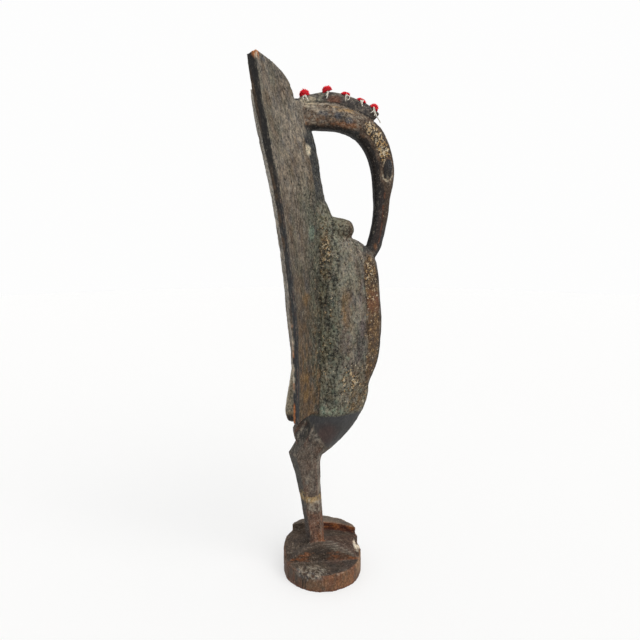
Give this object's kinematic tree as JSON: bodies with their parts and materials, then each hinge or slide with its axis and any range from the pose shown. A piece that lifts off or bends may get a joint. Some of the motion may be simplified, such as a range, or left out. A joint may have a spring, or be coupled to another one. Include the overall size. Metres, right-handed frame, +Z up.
{
  "type": "carved wooden bird figure",
  "caption": "Tall standing bird of carved wood with swept board wings, a deep keeled breast, an arched neck with a long down-turned beak, and a round base.",
  "frame": {"origin": "centre of the round base's underside", "axes": "+Z up, +X the way the bird faces, +Y the bird's left"},
  "size_m": [0.3988, 0.3822, 1.4465],
  "materials": {
    "carved_wood": "dark crusted patina over hand-carved wood, worn to brown at the edges",
    "red_wool": "fluffy red wool",
    "cotton_string": "twisted off-white cotton"
  },
  "bodies": {
    "root": {"carved_figure": "carved_wood", "wool_tuft_1": "red_wool", "wool_tuft_2": "red_wool", "wool_tuft_3": "red_wool", "wool_tuft_4": "red_wool", "wool_tuft_5": "red_wool", "string_tie_1": "cotton_string", "string_tie_2": "cotton_string", "string_tie_3": "cotton_string", "string_tie_4": "cotton_string", "string_tie_5": "cotton_string"}
  },
  "joints": []
}
